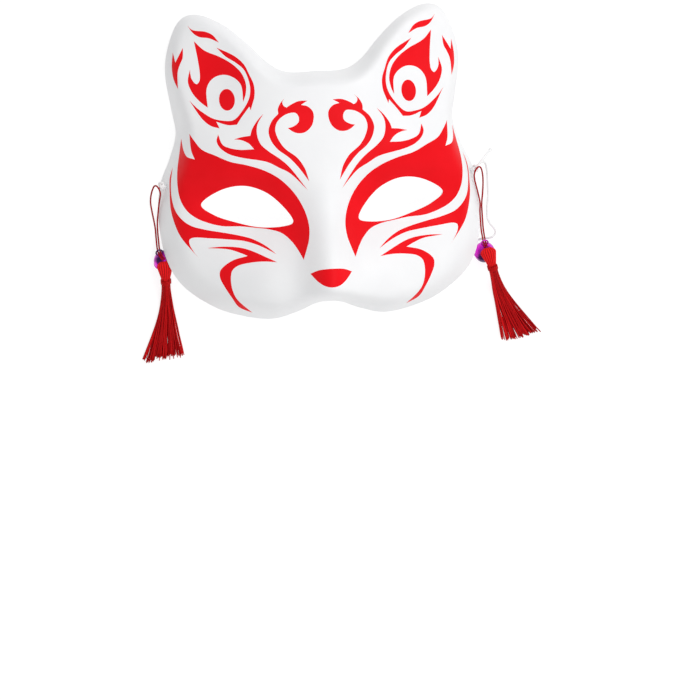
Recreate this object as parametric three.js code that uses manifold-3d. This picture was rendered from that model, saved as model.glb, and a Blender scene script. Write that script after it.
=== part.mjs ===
// Half-face fox mask of thin formed plastic. It lies face up on its back rim, with a head elastic, and a
// red cord, a small bell and a thread tassel at each temple. Millimetres. +Z is out of the face, +Y is
// towards the ears, +X is the wearer's left. The origin is below the middle of the mask, on the surface
// that the rim rests on.
import * as THREE from 'three';
import { mergeVertices } from 'three/addons/utils/BufferGeometryUtils.js';
import Module from 'manifold-3d';

const wasm = await Module();
wasm.setup();

// Driving dimensions of the mask
const MASK_WIDTH = 176.6;
const MASK_HEIGHT = 163;
const WALL = 1.2;
const DOME_HEIGHT = 52;
const SIDE_FALL = 24;
const SIDE_REACH = 75;
const CROWN_FALL = 14;
const NOSE_RISE = 15.5;
const MUZZLE_RISE = 6;
const CHEEK_RISE = 5;
const BROW_RISE = 3;
const SOCKET_DEPTH = 12;
const EAR_DISH_DEPTH = 4.5;
const CHIN_FALL = 4;
const WALL_ROUNDING = 2.6;
const CLEARANCE = 0.3;

// Where the dome starts to fall away towards the ears and the mouth, and how its falls curve
const SIDE_CURVE = 2.2;
const CROWN_START = 20;
const CROWN_LENGTH = 60;
const CROWN_CURVE = 1.6;
const CHIN_START = -40;
const CHIN_LENGTH = 40;

// The forms on the dome: rise, place and spread across the face, place and spreads up and down it. A form
// away from the middle has its mirrored twin.
const FACE_FORMS = [
  { rise: NOSE_RISE, x: 0, wide: 9, y: -60, above: 27, below: 15 },
  { rise: MUZZLE_RISE, x: 0, wide: 24, y: -64, above: 16, below: 16 },
  { rise: CHEEK_RISE, x: 31, wide: 15, y: -64, above: 13, below: 13 },
  { rise: -SOCKET_DEPTH, x: 41, wide: 19, y: -22, above: 12, below: 12 },
  { rise: BROW_RISE, x: 45, wide: 22, y: 2, above: 9, below: 9 },
  { rise: -EAR_DISH_DEPTH, x: 53, wide: 12, y: 50, above: 16, below: 16 },
];

// Driving dimensions of what hangs at the temples
const ELASTIC_DIAMETER = 1.2;
const CORD_DIAMETER = 0.9;
const TEMPLE_HOLE_DIAMETER = 3;
const TEMPLE_HOLE_Y = -8;
const TEMPLE_HOLE_INSET = 3.4;
const KNOT_RADIUS = 2.5;
const INNER_KNOT_RADIUS = 1.75;
const TAIL_END_RADIUS = 1;
const BELL_RADIUS = 5.8;
const BELL_WALL = 0.6;
const BELL_FLANGE = 0.35;
const BELL_FLANGE_THICKNESS = 0.7;
const BELL_SLOT = 1.1;
const BELL_SLOT_END_RADIUS = 1.1;
const BELL_SLOT_START = 1.8;
const BELL_TILT = 40;
const LOOP_RADIUS = 1.8;
const LOOP_WIRE_RADIUS = 0.4;
const LOOP_SINK = 0.3;
const HEAD_WIDTH = 8.8;
const HEAD_THICKNESS = 6;
const NECK_WIDTH = 4.8;
const SKIRT_THICKNESS = 4;
const SKIRT_FLARE = 1.5;
const HEAD_SHOULDER = 0.3;
const HEAD_BLUNTNESS = 0.85;
const SWAY = 1.6;
const GROUND_GAP = 0.15;
const BINDING_THICKNESS = 0.4;
const BINDING_LENGTH = 2.6;

// Fineness of the faceted surfaces
const COLUMNS = 76;
const DOME_ROWS = 6;
const EDGE_ROWS = 5;
const CORD_SIDES = 8;
const CORD_STEPS = 44;
const ELASTIC_STEPS = 62;
const TASSEL_SIDES = 12;
const SKIRT_RINGS = 6;
const BALL_SIDES = 12;
const BALL_ROWS = 7;
const BELL_SIDES = 12;
const TAIL_STEPS = 9;
const HEAD_PLACES = [0, 0.06, 0.15, 0.3, 0.6, 1];

// The width and the height that the outline, the eye holes and the face are drawn at
const DRAWN_WIDTH = 176.6;
const DRAWN_HEIGHT = 163;
const ACROSS = MASK_WIDTH / DRAWN_WIDTH;
const UPWARD = MASK_HEIGHT / DRAWN_HEIGHT;
const HOLE_Y = TEMPLE_HOLE_Y * UPWARD;

const OFF_WHITE = 0xf4f4f6;
const BRIGHT_RED = 0xd8121c;
const DARK_RED = 0x9c0c14;
const MAGENTA = 0xb0128c;

// The right half of the mask's outline, from the middle of the forehead's edge round the ear, the temple
// and the cheek to the notch under the nose: x, y, height of the back rim, width of the rolled-down side.
const OUTLINE = [
  [0, 49.3, 26, 9], [15, 49.6, 26, 9], [25, 55, 24, 8], [35, 65.5, 20, 7], [47, 76, 17, 6],
  [60, 82, 15, 6], [69.5, 80, 14, 6], [76, 69, 11.5, 7], [79.5, 53, 7.5, 8], [77.5, 33, 1.5, 10],
  [76, 20, -1.5, 11], [80, 7, -2.5, 12], [86, -7, -2.5, 13], [88.3, -25, 0, 14], [85.4, -46, 13, 15],
  [77, -61.3, 20, 15], [61, -73.3, 23, 14], [45, -79, 26, 14], [30, -81, 28, 13],
  [17, -77.6, 31, 12], [7, -73.4, 34, 11], [0, -72.6, 34.5, 11],
].map(([x, y, rim, side]) => [x * ACROSS, y * UPWARD, rim, side]);
const GRID_CENTRE = [0, -12 * UPWARD];

// The right eye hole, from its inner corner over the top to the outer corner and back below
const EYE_HOLE = [
  [17.2, -28], [22.5, -19.6], [31, -12.2], [42, -8.5], [54, -10.4],
  [64.6, -17.4], [58, -23.6], [47, -27.8], [35, -30.7], [23, -30.6],
].map(([x, y]) => [x * ACROSS, y * UPWARD]);

// A closed Catmull-Rom curve through rows of numbers, a few steps for each span
function smoothLoop(rows, steps) {
  const points = [];
  const count = rows.length;
  for (let i = 0; i < count; i += 1) {
    const [a, b, c, d] = [i - 1, i, i + 1, i + 2].map((k) => rows[(k + count) % count]);
    for (let s = 0; s < steps; s += 1) {
      const t = s / steps;
      points.push(b.map((value, k) => 0.5 * (2 * value + (c[k] - a[k]) * t
        + (2 * a[k] - 5 * value + 4 * c[k] - d[k]) * t * t
        + (3 * value - a[k] - 3 * c[k] + d[k]) * t * t * t)));
    }
  }
  return points;
}

// The whole outline as equal steps of its length, with a rim that never goes below the ground
function outlineRing(count) {
  const left = OUTLINE.slice(1, -1).reverse().map(([x, y, rim, side]) => [-x, y, rim, side]);
  const fine = smoothLoop([...OUTLINE, ...left], 24);
  const lengths = [0];
  for (let i = 0; i < fine.length; i += 1) {
    const [p, q] = [fine[i], fine[(i + 1) % fine.length]];
    lengths.push(lengths[i] + Math.hypot(q[0] - p[0], q[1] - p[1]));
  }
  const ring = [];
  let span = 0;
  for (let k = 0; k < count; k += 1) {
    const target = (lengths[fine.length] * k) / count;
    while (lengths[span + 1] < target) span += 1;
    const t = (target - lengths[span]) / (lengths[span + 1] - lengths[span]);
    const [p, q] = [fine[span], fine[(span + 1) % fine.length]];
    const row = p.map((value, i) => value + (q[i] - value) * t);
    row[2] = Math.max(row[2], 0);
    ring.push(row);
  }
  return ring;
}

const EDGE = outlineRing(960);

// How far a place is from the outline, and the outline's row there
function nearestEdge(x, y) {
  let edge = EDGE[0];
  let least = Infinity;
  for (let i = 0; i < EDGE.length; i += 1) {
    const p = EDGE[i];
    const q = EDGE[(i + 1) % EDGE.length];
    const [dx, dy] = [q[0] - p[0], q[1] - p[1]];
    const t = Math.min(Math.max(((x - p[0]) * dx + (y - p[1]) * dy) / (dx * dx + dy * dy), 0), 1);
    const far = Math.hypot(p[0] + dx * t - x, p[1] + dy * t - y);
    if (far < least) {
      least = far;
      edge = p.map((value, k) => value + (q[k] - value) * t);
    }
  }
  return { distance: least, edge };
}

// How far out the outline reaches beside the face at a height across it
function edgeReach(y) {
  return EDGE.filter((row) => row[0] > 0)
    .reduce((a, b) => (Math.abs(b[1] - y) < Math.abs(a[1] - y) ? b : a))[0];
}

const hump = (offset, spread) => Math.exp(-0.5 * (offset / spread) ** 2);
const humpPair = (x, centre, spread) => hump(x - centre, spread) + hump(x + centre, spread);
const clamp = (value, low, high) => Math.min(Math.max(value, low), high);

// The face without its rolled-down sides: dome, nose ridge, muzzle, cheeks, eye sockets, brow and ears
function faceHeight(placeX, placeY) {
  const x = placeX / ACROSS;
  const y = placeY / UPWARD;
  const crown = clamp((y - CROWN_START) / CROWN_LENGTH, 0, 2) ** CROWN_CURVE;
  const chin = clamp((CHIN_START - y) / CHIN_LENGTH, 0, 2) ** 2;
  let height = DOME_HEIGHT - SIDE_FALL * (Math.abs(x) / SIDE_REACH) ** SIDE_CURVE
    - CROWN_FALL * crown - CHIN_FALL * chin;
  for (const form of FACE_FORMS) {
    const across = form.x === 0 ? hump(x, form.wide) : humpPair(x, form.x, form.wide);
    height += form.rise * across * hump(y - form.y, y > form.y ? form.above : form.below);
  }
  return height;
}

// The outer surface: the face rolls down to the back rim over the side's width
function outerHeight(x, y) {
  const { distance, edge } = nearestEdge(x, y);
  const rise = 1 - (1 - clamp(distance / edge[3], 0, 1)) ** WALL_ROUNDING;
  return edge[2] + (faceHeight(x, y) - edge[2]) * rise;
}

function outerNormal(x, y) {
  const h = 0.25;
  const slopeX = (outerHeight(x + h, y) - outerHeight(x - h, y)) / (2 * h);
  const slopeY = (outerHeight(x, y + h) - outerHeight(x, y - h)) / (2 * h);
  return new THREE.Vector3(-slopeX, -slopeY, 1).normalize();
}

function toSolid(geometry) {
  const bare = geometry.clone();
  bare.deleteAttribute('normal');
  bare.deleteAttribute('uv');
  const merged = mergeVertices(bare, 1e-4);
  return new wasm.Manifold(new wasm.Mesh({
    numProp: 3,
    vertProperties: new Float32Array(merged.attributes.position.array),
    triVerts: new Uint32Array(merged.index.array),
  }));
}

function toGeometry(solid) {
  const mesh = solid.getMesh();
  const geometry = new THREE.BufferGeometry();
  geometry.setAttribute('position', new THREE.BufferAttribute(new Float32Array(mesh.vertProperties), 3));
  geometry.setIndex(new THREE.BufferAttribute(new Uint32Array(mesh.triVerts), 1));
  geometry.computeVertexNormals();
  return geometry;
}

function indexed(points, triangles) {
  const geometry = new THREE.BufferGeometry();
  geometry.setAttribute('position', new THREE.Float32BufferAttribute(points.flatMap((p) => [...p]), 3));
  geometry.setIndex(triangles.flat());
  geometry.computeVertexNormals();
  return geometry;
}

// Rings of equal count joined into one closed body, with a point at the middle of each end
function loft(rings) {
  const count = rings[0].length;
  const middle = (ring) => ring.reduce((sum, p) => sum.add(p), new THREE.Vector3()).divideScalar(count);
  const points = [...rings.flat(), middle(rings[0]), middle(rings[rings.length - 1])];
  const triangles = [];
  for (let i = 0; i < count; i += 1) {
    const j = (i + 1) % count;
    triangles.push([points.length - 2, j, i]);
    for (let r = 0; r + 1 < rings.length; r += 1) {
      const [a, b] = [r * count, (r + 1) * count];
      triangles.push([a + i, a + j, b + j], [a + i, b + j, b + i]);
    }
    const last = (rings.length - 1) * count;
    triangles.push([points.length - 1, last + i, last + j]);
  }
  return indexed(points, triangles);
}

// A round cord of a given diameter through hand-laid points
function cordGeometry(points, diameter, steps) {
  const path = new THREE.CatmullRomCurve3(points.map((p) => new THREE.Vector3(...p)), false, 'centripetal');
  const section = new THREE.Shape();
  for (let i = 0; i < CORD_SIDES; i += 1) {
    const angle = (2 * i * Math.PI) / CORD_SIDES;
    const [x, y] = [(Math.cos(angle) * diameter) / 2, (Math.sin(angle) * diameter) / 2];
    if (i === 0) section.moveTo(x, y);
    else section.lineTo(x, y);
  }
  section.closePath();
  return new THREE.ExtrudeGeometry(section, { steps, extrudePath: path, curveSegments: 1 });
}

// The thin formed shell, before its holes
function shellGeometry() {
  const ring = outlineRing(COLUMNS);
  const outer = [];
  const inner = [];
  const [cx, cy] = GRID_CENTRE;
  const addPair = (x, y) => {
    const z = outerHeight(x, y);
    const n = outerNormal(x, y);
    outer.push(new THREE.Vector3(x, y, z));
    inner.push(new THREE.Vector3(x, y, z).addScaledVector(n, -WALL));
  };
  addPair(cx, cy);
  const rows = DOME_ROWS + EDGE_ROWS;
  for (let r = 1; r <= rows; r += 1) {
    for (let c = 0; c < COLUMNS; c += 1) {
      const [x, y, rim, side] = ring[c];
      const reach = Math.hypot(x - cx, y - cy);
      const [before, after] = [ring[(c + COLUMNS - 1) % COLUMNS], ring[(c + 1) % COLUMNS]];
      const along = new THREE.Vector2(after[0] - before[0], after[1] - before[1]).normalize();
      const outward = new THREE.Vector2(-along.y, along.x);
      const facing = Math.max((outward.x * (x - cx) + outward.y * (y - cy)) / reach, 0.5);
      const sideShare = side / facing / reach;
      const t = Math.max(r - DOME_ROWS, 0) / EDGE_ROWS;
      const share = r <= DOME_ROWS
        ? ((1 - sideShare) * r) / DOME_ROWS
        : 1 - sideShare * (1 - t) ** 1.5;
      if (r < rows) {
        addPair(cx + (x - cx) * share, cy + (y - cy) * share);
      } else {
        outer.push(new THREE.Vector3(x, y, rim));
        inner.push(new THREE.Vector3(x - outward.x * WALL, y - outward.y * WALL, rim));
      }
    }
  }
  const triangles = [];
  const shift = outer.length;
  const face = (a, b, c) => triangles.push([a, b, c], [a + shift, c + shift, b + shift]);
  for (let c = 0; c < COLUMNS; c += 1) {
    const d = (c + 1) % COLUMNS;
    face(0, 1 + d, 1 + c);
    for (let r = 0; r + 1 < rows; r += 1) {
      const [a, b] = [1 + r * COLUMNS, 1 + (r + 1) * COLUMNS];
      const straight = outer[a + c].distanceTo(outer[b + d]) < outer[a + d].distanceTo(outer[b + c]);
      if (straight) {
        face(a + c, a + d, b + d);
        face(a + c, b + d, b + c);
      } else {
        face(a + c, a + d, b + c);
        face(a + d, b + d, b + c);
      }
    }
    const last = 1 + (rows - 1) * COLUMNS;
    triangles.push([last + c, last + d, last + d + shift], [last + c, last + d + shift, last + c + shift]);
  }
  return indexed([...outer, ...inner], triangles);
}

// Straight cutters for the eye holes, trimmed along the direction that the face looks in
function eyeCutter(side) {
  const loop = smoothLoop(EYE_HOLE, 4).map(([x, y]) => new THREE.Vector2(side * x, y));
  const depth = 2 * DOME_HEIGHT;
  return new THREE.ExtrudeGeometry(new THREE.Shape(loop), { depth, bevelEnabled: false });
}

// Where the elastic passes through the temple, and the direction that the wall faces there
function templeHole(side) {
  const x = edgeReach(HOLE_Y) - TEMPLE_HOLE_INSET;
  const normal = outerNormal(x, HOLE_Y);
  return {
    point: new THREE.Vector3(side * x, HOLE_Y, outerHeight(x, HOLE_Y)),
    normal: new THREE.Vector3(side * normal.x, normal.y, normal.z),
  };
}

function rod(from, direction, start, end, radius, sides) {
  const geometry = new THREE.CylinderGeometry(radius, radius, end - start, sides);
  geometry.translate(0, (start + end) / 2, 0);
  geometry.applyQuaternion(new THREE.Quaternion().setFromUnitVectors(new THREE.Vector3(0, 1, 0), direction));
  geometry.translate(...from);
  return geometry;
}

function maskShell() {
  let solid = toSolid(shellGeometry());
  for (const side of [-1, 1]) {
    const hole = templeHole(side);
    solid = solid.subtract(toSolid(eyeCutter(side)));
    const drill = rod(hole.point, hole.normal, -5 * WALL, 5 * WALL, TEMPLE_HOLE_DIAMETER / 2, 16);
    solid = solid.subtract(toSolid(drill));
  }
  return toGeometry(solid);
}

// Each temple's hanging. Its bell is so far outside the outline, at a height on the face. Its head starts
// beside the bell's middle, points along the heading, lies level and then falls to the ground.
const HANGINGS = [
  {
    side: 'left', sign: -1, bell: [1.9, -48.3], loopHeading: 115, head: [-0.1, 0.2], heading: -87,
    headLength: 9.6, headHeight: 12, level: 2, fall: 24, skirtLength: 42.5, skirtWidth: 24.5, sideways: -6.5,
    cord: [
      [0, 0.65, 0.95, 12.75], [0, 1.65, 2.4, 12.35], [0, 2.45, 3.7, 11.6], [0, 2.82, 4.76, 10.55],
      [0, 3.2, 6, 9], [0, 3.5, 8, 6.5], [0, 3.65, 10.6, 3.7], [0.5, 2.66, -6.75, 1.6],
      [0.5, 2.31, -3.35, 0.75], [0.5, 2.47, 0.65, 0.6], [0.5, 3.26, 6.65, 0.9], [1, 9.08, -8.5, -8.87],
      [1, 8.38, -4, -5.37], [1, 7.08, -0.6, -1.97], [1, 6.08, 0.8, 0.43], [1, 4.88, 0.7, 2.13],
      [1, 3.78, -0.9, 2.83], [1, 3.28, -3.3, 1.33], [1, 3.68, -5.8, -1.57], [1, 4.38, -8.8, -4.67],
      [0.5, -0.17, 6.35, 4.4], [0.5, 0.67, 1.15, 2.3], [0.5, 1.16, -3.35, 0.9], [0.5, 1.51, -6.75, 1.6],
      [0, 2.45, 10.8, 3.7], [0, 2.35, 8.4, 6.5], [0, 2.1, 6.5, 9], [0, 1.78, 5.24, 10.55],
      [0, 1.4, 4.15, 11.6], [0, 0.6, 2.8, 12.35], [0, -0.4, 1.35, 12.75],
    ],
  },
  {
    side: 'right', sign: 1, bell: [7.4, -53.9], loopHeading: 94, head: [0.2, 3], heading: -79,
    headLength: 9.6, headHeight: 14.2, level: 6, fall: 24, skirtLength: 40.5, skirtWidth: 23, sideways: 8.5,
    cord: [
      [0, 0.5, 3.5, 12.9], [0, 0.3, 4.5, 11.85], [0, 0.19, 5.5, 10.55], [0, 0.15, 6.6, 9.2],
      [0, 0.2, 8.7, 6.7], [0, 0.3, 11.3, 4], [0, 0.4, 14.1, 1.8], [0, 0.5, 17.1, 0.8],
      [0.5, 2.13, -1.55, 0.6], [0.5, 1.77, 3.45, 0.6], [0.5, 2.46, 9.45, 0.9], [1, 7.98, -8.5, -8.87],
      [1, 7.48, -4, -5.37], [1, 6.38, -0.2, -1.57], [1, 5.18, 1.3, 1.03], [1, 3.68, 1.3, 2.93],
      [1, 2.18, -0.3, 3.63], [1, 1.58, -2.9, 2.53], [1, 2.08, -5.6, 0.03], [1, 3.28, -9, -3.27],
      [0.5, -0.67, 9.15, 5.2], [0.5, 0.57, 3.95, 2.3], [0.5, 0.81, -0.55, 0.95], [0, -0.7, 17.1, 0.8],
      [0, -0.8, 14.1, 1.8], [0, -0.9, 11.3, 4], [0, -0.95, 8.7, 6.7], [0, -1, 6.6, 9.2],
      [0, -0.96, 5.44, 10.55], [0, -0.85, 4.45, 11.85], [0, -0.65, 3.45, 12.9],
    ],
  },
];

// The head elastic: depths behind the left temple hole, then inside the mask, then beside it up to the knot
const ELASTIC_START = [0.1, 2.2, 4];
const ELASTIC_INSIDE = [
  [-78.2, -9.5, 8.4], [-78.3, -12, 5], [-79, -16, 2], [-79.5, -21, 0.8], [-78.5, -28, 0.7], [-74, -40, 0.7],
  [-62, -50, 0.7], [-44, -57, 0.7], [-25, -54, 0.7], [-8, -46, 0.7], [8, -48, 0.7], [25, -56, 0.7],
  [45, -60, 0.7], [62, -55, 0.7], [76, -49.5, 0.7],
];
const ELASTIC_OUTSIDE = [
  [0, -3.5, 6.5, 0.7], [0, 1, 7.3, 0.7], [0, 4.1, 7.4, 0.7], [0, 6.6, 8.4, 0.7], [0, 7.5, 10.6, 0.7],
  [0, 6.5, 12.9, 0.7], [0, 4.7, 15.1, 0.7], [0.5, 5.5, -4.55, 0.7], [0.5, 4.97, 1.45, 0.7],
  [0.5, 5.4, 7.45, 0.7], [1, 10.98, -9.5, -10.87], [1, 10.68, -3.5, -9.37], [1, 9.78, 1, -6.17],
  [1, 8.38, 3.7, -2.77], [1, 6.38, 3.9, -0.57], [1, 4.73, 2.9, 0.43],
];

// The loose end beyond the right knot
const TAIL_ROUTE = [
  [1, 3.08, 1, 1.83], [1, 4.48, 3.1, 2.63], [1, 6.88, 5.5, 1.03], [1, 10.18, 8.4, -3.57],
  [1, 13.58, 10.3, -10.47],
];

// The middle of a hanging's bell, beside the outline at its own height
function bellPlace({ sign, bell }) {
  const y = bell[1] * UPWARD;
  return new THREE.Vector3(sign * (edgeReach(y) + bell[0]), y, BELL_RADIUS + GROUND_GAP);
}

// A place of a route beside the mask. Its first number is its share of the way up from the bell to the temple
// hole; then it is so far outward, upward and high. It is measured from the bell's middle or from the hole
// itself where the share is 0 or 1, and from the mask's outline between them.
function beside(hanging, [share, outward, upward, height]) {
  const { point } = templeHole(hanging.sign);
  const bell = bellPlace(hanging);
  const y = bell.y + (point.y - bell.y) * share + upward;
  if (share === 1) return [point.x + hanging.sign * outward, y, point.z + height];
  const from = share === 0 ? bell.x : hanging.sign * edgeReach(y);
  return [from + hanging.sign * outward, y, height];
}

const cordRoute = (hanging) => hanging.cord.map((place) => beside(hanging, place));

// The rings of a thread tassel from its head, propped on the bell, to its spread skirt on the ground
function tasselRings(hanging) {
  const angle = THREE.MathUtils.degToRad(hanging.heading);
  const ahead = new THREE.Vector3(Math.cos(angle), Math.sin(angle), 0);
  const across = new THREE.Vector3(-ahead.y, ahead.x, 0);
  const { headLength, headHeight, level, fall, skirtLength, skirtWidth, sideways } = hanging;
  const neckEnd = headLength + BINDING_LENGTH + 2 * CLEARANCE;
  const length = neckEnd + skirtLength;
  const bell = bellPlace(hanging);
  const start = new THREE.Vector3(bell.x + hanging.sign * hanging.head[0], bell.y + hanging.head[1], 0);
  const shape = (u) => {
    if (u < headLength) {
      const share = Math.max(u / headLength, 0);
      const round = Math.sqrt(1 - HEAD_BLUNTNESS * (1 - Math.min(share / HEAD_SHOULDER, 1)) ** 2);
      const taper = clamp((share - HEAD_SHOULDER) / (1 - HEAD_SHOULDER), 0, 1);
      return [HEAD_WIDTH, HEAD_THICKNESS].map((size) => (size + (NECK_WIDTH - size) * taper) * round);
    }
    const spread = clamp((u - neckEnd) / skirtLength, 0, 1);
    return [
      NECK_WIDTH + (skirtWidth - NECK_WIDTH) * spread ** SKIRT_FLARE,
      NECK_WIDTH + (SKIRT_THICKNESS - NECK_WIDTH) * spread,
    ];
  };
  const middle = (u) => {
    const drop = 0.5 + 0.5 * Math.cos(Math.PI * clamp((u - level) / fall, 0, 1));
    const resting = shape(u)[1] / 2 + GROUND_GAP;
    return start.clone()
      .addScaledVector(ahead, u)
      .add(new THREE.Vector3(sideways * (u / length) ** SWAY, 0, resting + (headHeight - resting) * drop));
  };
  const places = HEAD_PLACES.map((share) => share * headLength);
  for (let k = 0; k <= SKIRT_RINGS; k += 1) places.push(neckEnd + (skirtLength * k) / SKIRT_RINGS);
  const step = 0.1;
  const ring = (u, grow = 0) => {
    const tangent = middle(Math.min(u + step, length)).sub(middle(Math.max(u - step, 0))).normalize();
    const up = new THREE.Vector3().crossVectors(tangent, across).normalize();
    const [width, thickness] = shape(u);
    return Array.from({ length: TASSEL_SIDES }, (_, i) => {
      const turn = (2 * Math.PI * i) / TASSEL_SIDES;
      return middle(u)
        .addScaledVector(across, Math.cos(turn) * (width / 2 + grow))
        .addScaledVector(up, Math.sin(turn) * (thickness / 2 + grow));
    });
  };
  return { rings: places.map((u) => ring(u)), ring, neckStart: headLength + CLEARANCE };
}

function tassel(hanging) {
  const room = new THREE.SphereGeometry(BELL_RADIUS + BELL_FLANGE + 1.5 * CLEARANCE, 16, 10);
  room.translate(...bellPlace(hanging));
  return toGeometry(toSolid(loft(tasselRings(hanging).rings)).subtract(toSolid(room)));
}

// The thread wound round the tassel's neck
function binding(hanging) {
  const { ring, neckStart } = tasselRings(hanging);
  const ends = [neckStart, neckStart + BINDING_LENGTH / 2, neckStart + BINDING_LENGTH];
  const outer = ends.map((u) => ring(u, CLEARANCE + BINDING_THICKNESS));
  const inner = ends.map((u) => ring(u, CLEARANCE));
  const loops = [...outer, ...inner.reverse()];
  const triangles = [];
  for (let r = 0; r < loops.length; r += 1) {
    const [a, b] = [r * TASSEL_SIDES, ((r + 1) % loops.length) * TASSEL_SIDES];
    for (let i = 0; i < TASSEL_SIDES; i += 1) {
      const j = (i + 1) % TASSEL_SIDES;
      triangles.push([a + i, a + j, b + j], [a + i, b + j, b + i]);
    }
  }
  return indexed(loops.flat(), triangles);
}

// A round bell of two pressed halves with a seam flange, a slot at one end and a wire loop at the other.
// Built along +Y with its loop on top, then laid down with the loop tilted up towards the cord.
function bell(hanging) {
  const profile = [new THREE.Vector2(0, BELL_RADIUS)];
  const steps = 5;
  const edge = BELL_FLANGE_THICKNESS / 2;
  for (let k = 1; k < 2 * steps; k += 1) {
    const angle = (k * Math.PI) / (2 * steps);
    if (k === steps) {
      profile.push(new THREE.Vector2(Math.sqrt(BELL_RADIUS ** 2 - edge ** 2), edge));
      profile.push(new THREE.Vector2(BELL_RADIUS + BELL_FLANGE, edge));
      profile.push(new THREE.Vector2(BELL_RADIUS + BELL_FLANGE, -edge));
      profile.push(new THREE.Vector2(Math.sqrt(BELL_RADIUS ** 2 - edge ** 2), -edge));
    } else {
      profile.push(new THREE.Vector2(BELL_RADIUS * Math.sin(angle), BELL_RADIUS * Math.cos(angle)));
    }
  }
  profile.push(new THREE.Vector2(0, -BELL_RADIUS));
  const body = new THREE.LatheGeometry(profile.reverse(), BELL_SIDES);
  const hollow = new THREE.SphereGeometry(BELL_RADIUS - BELL_WALL, BALL_SIDES, BALL_ROWS);
  const slot = new THREE.BoxGeometry(BELL_SLOT, BELL_RADIUS, 3 * BELL_RADIUS);
  slot.translate(0, -BELL_RADIUS / 2 - BELL_SLOT_START, 0);
  const through = new THREE.Vector3(0, 0, 1);
  const slotEnds = rod([0, -BELL_SLOT_START, 0], through, -1.5 * BELL_RADIUS, 1.5 * BELL_RADIUS,
    BELL_SLOT_END_RADIUS, 10);
  const loop = new THREE.TorusGeometry(LOOP_RADIUS, LOOP_WIRE_RADIUS, 5, 12);
  loop.translate(0, BELL_RADIUS + LOOP_RADIUS - LOOP_SINK, 0);
  const solid = toSolid(body).add(toSolid(loop)).subtract(toSolid(hollow))
    .subtract(toSolid(slot)).subtract(toSolid(slotEnds));
  const geometry = toGeometry(solid);
  const around = THREE.MathUtils.degToRad(hanging.loopHeading);
  const tilt = THREE.MathUtils.degToRad(BELL_TILT);
  const towardsLoop = new THREE.Vector3(
    Math.cos(tilt) * Math.cos(around),
    Math.cos(tilt) * Math.sin(around),
    Math.sin(tilt),
  );
  const level = new THREE.Vector3(Math.sin(around), -Math.cos(around), 0);
  const turn = new THREE.Matrix4()
    .makeBasis(level, towardsLoop, new THREE.Vector3().crossVectors(level, towardsLoop));
  turn.setPosition(bellPlace(hanging));
  return geometry.applyMatrix4(turn);
}

// The knot tied in the elastic outside a temple hole, with a way through it for the tassel's cord. The
// right one also has a stem through the hole and the loose end.
function knot(hanging) {
  const { point, normal } = templeHole(hanging.sign);
  const centre = point.clone().addScaledVector(normal, KNOT_RADIUS + CLEARANCE);
  const lump = new THREE.SphereGeometry(KNOT_RADIUS, BALL_SIDES, BALL_ROWS);
  lump.translate(...centre);
  let solid = toSolid(lump);
  if (hanging.side === 'right') {
    const behind = -WALL - CLEARANCE - INNER_KNOT_RADIUS;
    const inside = new THREE.SphereGeometry(INNER_KNOT_RADIUS, 8, 6);
    inside.translate(...point.clone().addScaledVector(normal, behind));
    const stem = rod(point, normal, behind, KNOT_RADIUS, ELASTIC_DIAMETER / 2, CORD_SIDES);
    const tail = TAIL_ROUTE.map((place) => beside(hanging, place));
    const tailEnd = new THREE.SphereGeometry(TAIL_END_RADIUS, 8, 6);
    tailEnd.translate(...tail[tail.length - 1]);
    for (const piece of [inside, stem, tailEnd, cordGeometry(tail, ELASTIC_DIAMETER, TAIL_STEPS)]) {
      solid = solid.add(toSolid(piece));
    }
  }
  const way = cordGeometry(cordRoute(hanging), CORD_DIAMETER + 3 * CLEARANCE, CORD_STEPS);
  return toGeometry(solid.subtract(toSolid(way)));
}

// The elastic starts in the left temple hole, just short of its knot
function elastic() {
  const { point, normal } = templeHole(-1);
  const start = ELASTIC_START.map((depth) => [...point.clone().addScaledVector(normal, -depth)]);
  const inside = ELASTIC_INSIDE.map(([x, y, z]) => [x * ACROSS, y * UPWARD, z]);
  const outside = ELASTIC_OUTSIDE.map((place) => beside(HANGINGS[1], place));
  return cordGeometry([...start, ...inside, ...outside], ELASTIC_DIAMETER, ELASTIC_STEPS);
}

const group = new THREE.Group();
const finish = (color, roughness, metalness = 0) => (
  new THREE.MeshStandardMaterial({ color, roughness, metalness })
);

function add(name, geometry, material) {
  const mesh = new THREE.Mesh(geometry, material);
  mesh.name = name;
  group.add(mesh);
}

add('mask_shell', maskShell(), finish(OFF_WHITE, 0.45));
add('head_elastic', elastic(), finish(OFF_WHITE, 0.8));
for (const hanging of HANGINGS) {
  add(`elastic_knot_${hanging.side}`, knot(hanging), finish(OFF_WHITE, 0.8));
  const cord = cordGeometry(cordRoute(hanging), CORD_DIAMETER, CORD_STEPS);
  add(`tassel_cord_${hanging.side}`, cord, finish(DARK_RED, 0.7));
  add(`bell_${hanging.side}`, bell(hanging), finish(MAGENTA, 0.25, 0.9));
  add(`tassel_${hanging.side}`, tassel(hanging), finish(BRIGHT_RED, 0.7));
  add(`tassel_binding_${hanging.side}`, binding(hanging), finish(BRIGHT_RED, 0.7));
}

export default group;
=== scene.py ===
import math

import bpy
import numpy as np
from mathutils import Matrix, Vector
from mathutils.geometry import delaunay_2d_cdt


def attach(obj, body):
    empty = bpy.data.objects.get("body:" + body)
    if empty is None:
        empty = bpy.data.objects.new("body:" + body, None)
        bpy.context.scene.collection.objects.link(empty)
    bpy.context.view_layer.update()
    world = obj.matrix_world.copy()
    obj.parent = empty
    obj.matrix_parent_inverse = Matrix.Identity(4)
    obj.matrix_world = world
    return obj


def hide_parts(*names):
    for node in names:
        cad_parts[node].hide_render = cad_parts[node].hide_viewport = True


SEED = 7
MM = 0.001

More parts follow.
